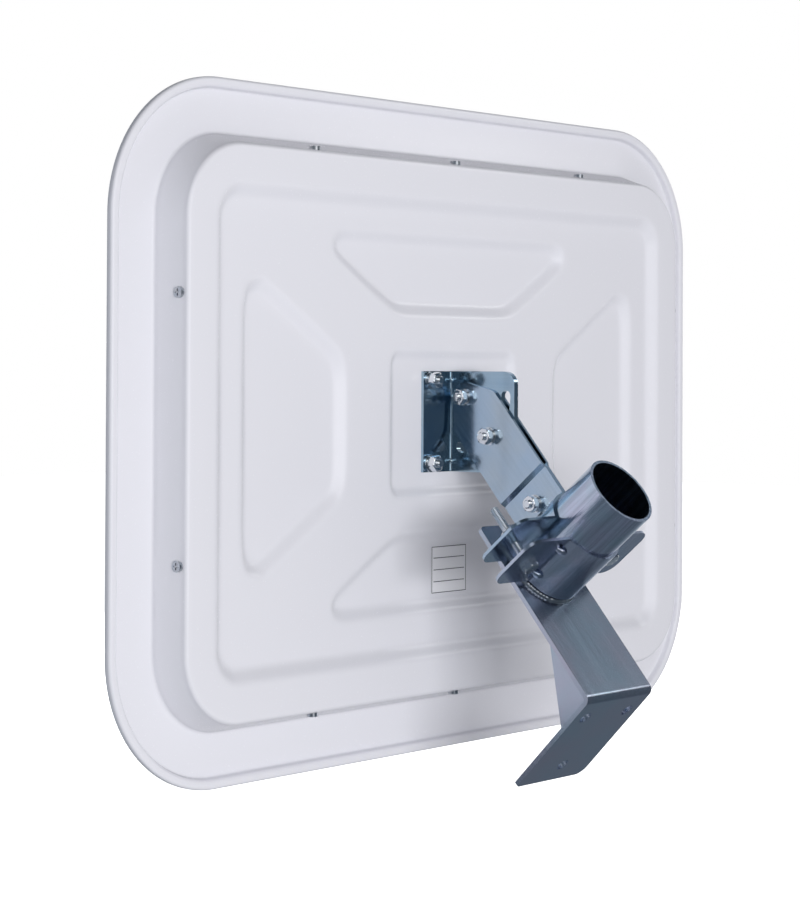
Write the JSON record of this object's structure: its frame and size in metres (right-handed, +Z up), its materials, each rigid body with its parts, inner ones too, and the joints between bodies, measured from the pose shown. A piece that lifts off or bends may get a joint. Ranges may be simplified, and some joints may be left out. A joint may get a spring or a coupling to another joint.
{
  "type": "flat panel satellite antenna",
  "caption": "Flat panel antenna with rounded white back shell on a zinc plated tilt bracket that clamps to a short mast tube on a bent wall bracket.",
  "frame": {"origin": "point on the wall face of the foot, on the middle line and 43 mm below the bend", "axes": "+Z up, +X across the panel to the right seen from behind, the panel's back and the wall bracket are towards -Y"},
  "size_m": [0.6, 0.1792, 0.4502],
  "materials": {
    "shell_plastic": "smooth glossy white",
    "radome_plastic": "smooth white sheet",
    "seal_rubber": "matt black",
    "arm_zinc": "blue zinc plating on pressed steel",
    "mount_zinc": "dull zinc plating on steel strip and tube",
    "weld_steel": "rough weld metal under zinc",
    "bolt_zinc": "bright zinc plated fasteners",
    "washer_zinc": "zinc plated washers",
    "screw_steel": "plain steel screws",
    "frame_aluminium": "mill finish",
    "ground_aluminium": "mill finish sheet",
    "foam": "white foam sheet",
    "board": "printed board",
    "backing_steel": "zinc plated plate",
    "converter_cast": "cast box",
    "outlet_brass": "nickel plated brass",
    "label_film": "satin film"
  },
  "bodies": {
    "wall_bracket": {"wall_strip": "mount_zinc", "gusset_plate": "mount_zinc", "mast_tube": "mount_zinc", "weld_bead": "weld_steel"},
    "swivel_arm": {"arm_plate_left": "arm_zinc", "arm_plate_right": "arm_zinc", "clamp_front": "arm_zinc", "clamp_bolts": "bolt_zinc", "clamp_nuts": "bolt_zinc", "clamp_spring_washers": "washer_zinc", "clamp_flat_washers": "washer_zinc", "arm_bolts": "bolt_zinc", "arm_nuts": "bolt_zinc", "arm_spring_washers": "washer_zinc", "arm_flat_washers": "washer_zinc"},
    "panel": {"rear_shell": "shell_plastic", "front_radome": "radome_plastic", "rim_seal": "seal_rubber", "inner_frame": "frame_aluminium", "side_screws": "screw_steel", "ground_plate": "ground_aluminium", "foam_spacer": "foam", "patch_board": "board", "backing_plate": "backing_steel", "tilt_bracket_left": "arm_zinc", "tilt_bracket_right": "arm_zinc", "bracket_bolts": "bolt_zinc", "bracket_nuts": "bolt_zinc", "bracket_spring_washers": "washer_zinc", "bracket_flat_washers": "washer_zinc", "converter_box": "converter_cast", "outlet_socket": "outlet_brass", "outlet_nut": "outlet_brass", "blank_label": "label_film"}
  },
  "joints": [
    {"name": "swivel", "type": "hinge", "parent": "wall_bracket", "child": "swivel_arm", "pos_m": [0, 0.01611, 0.12399], "axis": [0, -0.7604, 0.6494], "range_deg": [-45, 45]},
    {"name": "tilt", "type": "hinge", "parent": "swivel_arm", "child": "panel", "pos_m": [0, 0.09859, 0.22056], "axis": [1, 0, 0], "range_deg": [-8, 49]}
  ]
}
